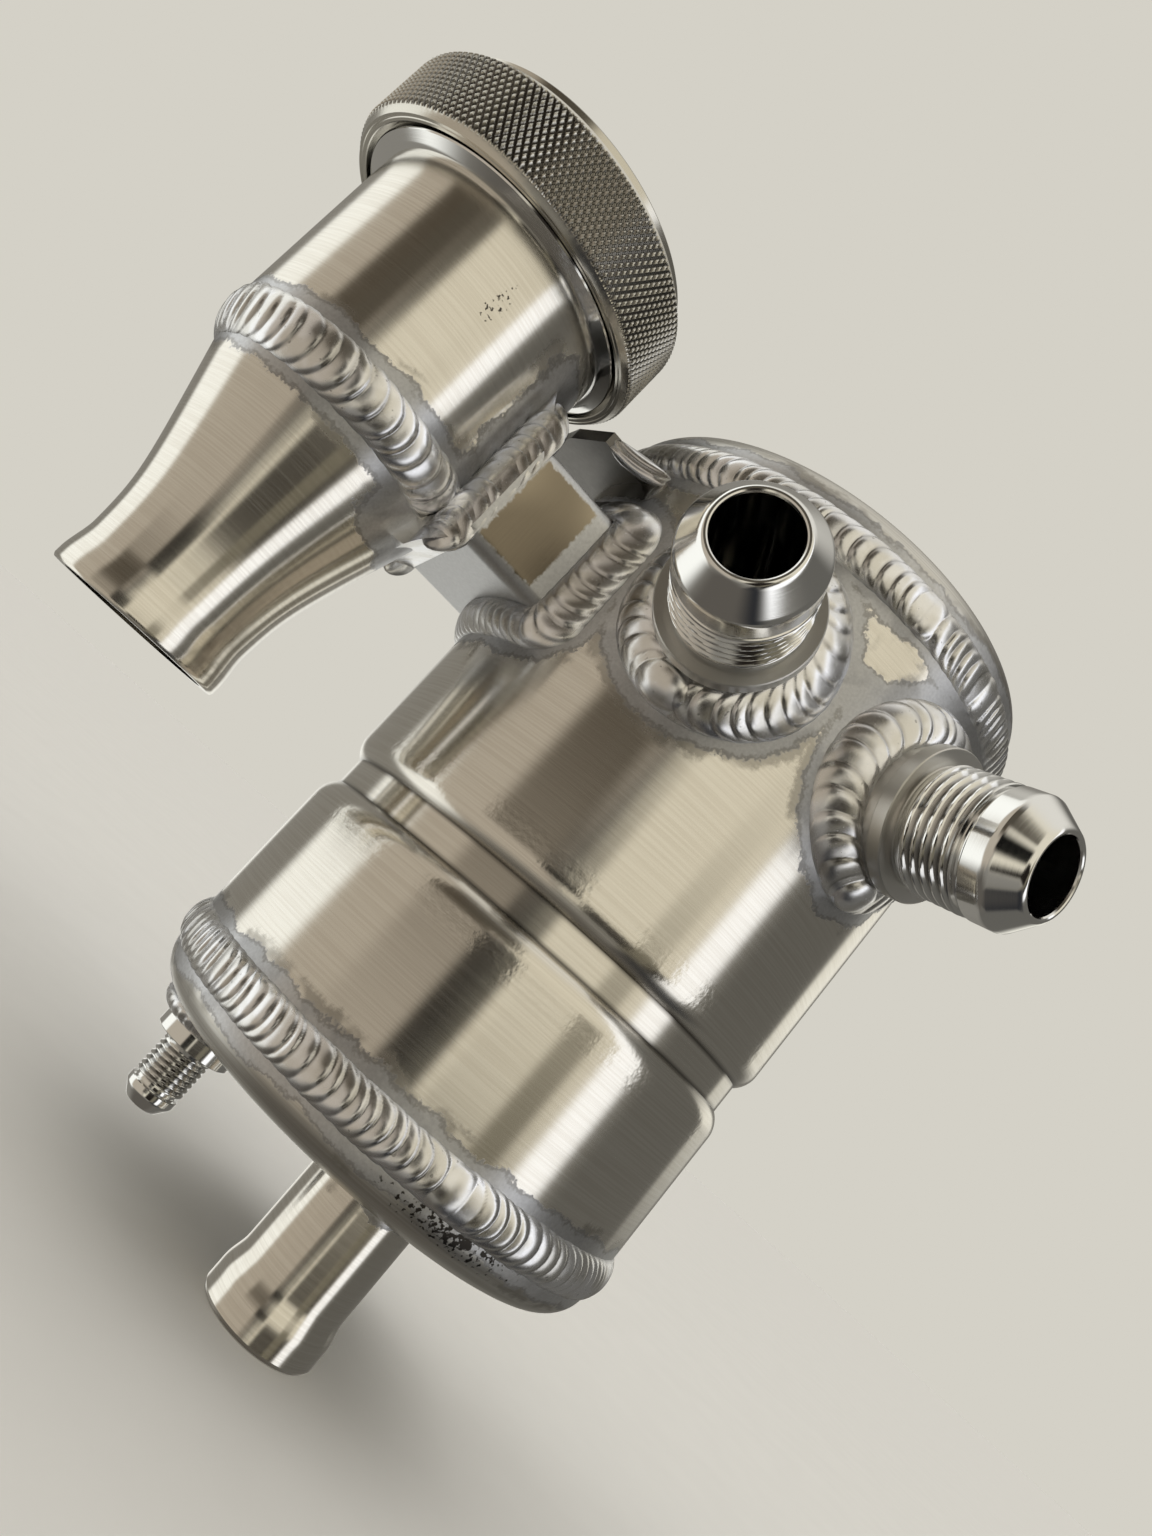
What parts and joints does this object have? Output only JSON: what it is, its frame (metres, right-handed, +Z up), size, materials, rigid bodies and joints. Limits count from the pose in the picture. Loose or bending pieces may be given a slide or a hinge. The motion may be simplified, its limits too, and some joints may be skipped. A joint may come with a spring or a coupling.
{
  "type": "oil catch can",
  "caption": "Welded aluminium oil catch can with a band groove, male flare ports, a hose spigot and a side filler with a knurled screw cap.",
  "frame": {"origin": "on the can's axis, at the middle of the rolled band groove", "axes": "+Z up along the can's axis towards its closed top; -X towards the filler; -Y towards the two large ports"},
  "size_m": [0.2028, 0.1482, 0.2085],
  "materials": {
    "brushed_aluminium": "circumferentially brushed",
    "weld_metal": "rippled weld beads, satin",
    "machined_aluminium": "turned, bright",
    "seal_rubber": "matt black"
  },
  "bodies": {
    "can": {"can_body": "brushed_aluminium", "top_cap": "brushed_aluminium", "bottom_cap": "brushed_aluminium", "body_top_weld": "weld_metal", "body_bottom_weld": "weld_metal", "front_port": "machined_aluminium", "side_port": "machined_aluminium", "front_port_weld": "weld_metal", "side_port_weld": "weld_metal", "link_block": "brushed_aluminium", "link_weld_can": "weld_metal", "link_weld_filler": "weld_metal", "filler_tube": "brushed_aluminium", "filler_cone": "brushed_aluminium", "filler_cone_weld": "weld_metal", "filler_neck": "machined_aluminium", "hose_spigot": "machined_aluminium", "hose_spigot_weld": "weld_metal", "drain_fitting": "machined_aluminium", "drain_fitting_weld": "weld_metal", "mount_tab": "brushed_aluminium", "mount_tab_weld": "weld_metal", "baffle": "brushed_aluminium"},
    "seal": {"cap_seal": "seal_rubber"},
    "cap": {"filler_cap": "machined_aluminium"}
  },
  "joints": [
    {"name": "cap_lift", "type": "slide", "parent": "can", "child": "seal", "axis": [0, 0, 1], "range_m": [0, 0.016]},
    {"name": "cap_turn", "type": "hinge", "parent": "seal", "child": "cap", "pos_m": [-0.1054, 0, 0.108], "axis": [0, 0, 1], "range_deg": [0, 1920]}
  ],
  "couplings": [
    {"joint": "cap_lift", "follows": "cap_turn", "m_per_rad": 0.00047746}
  ]
}
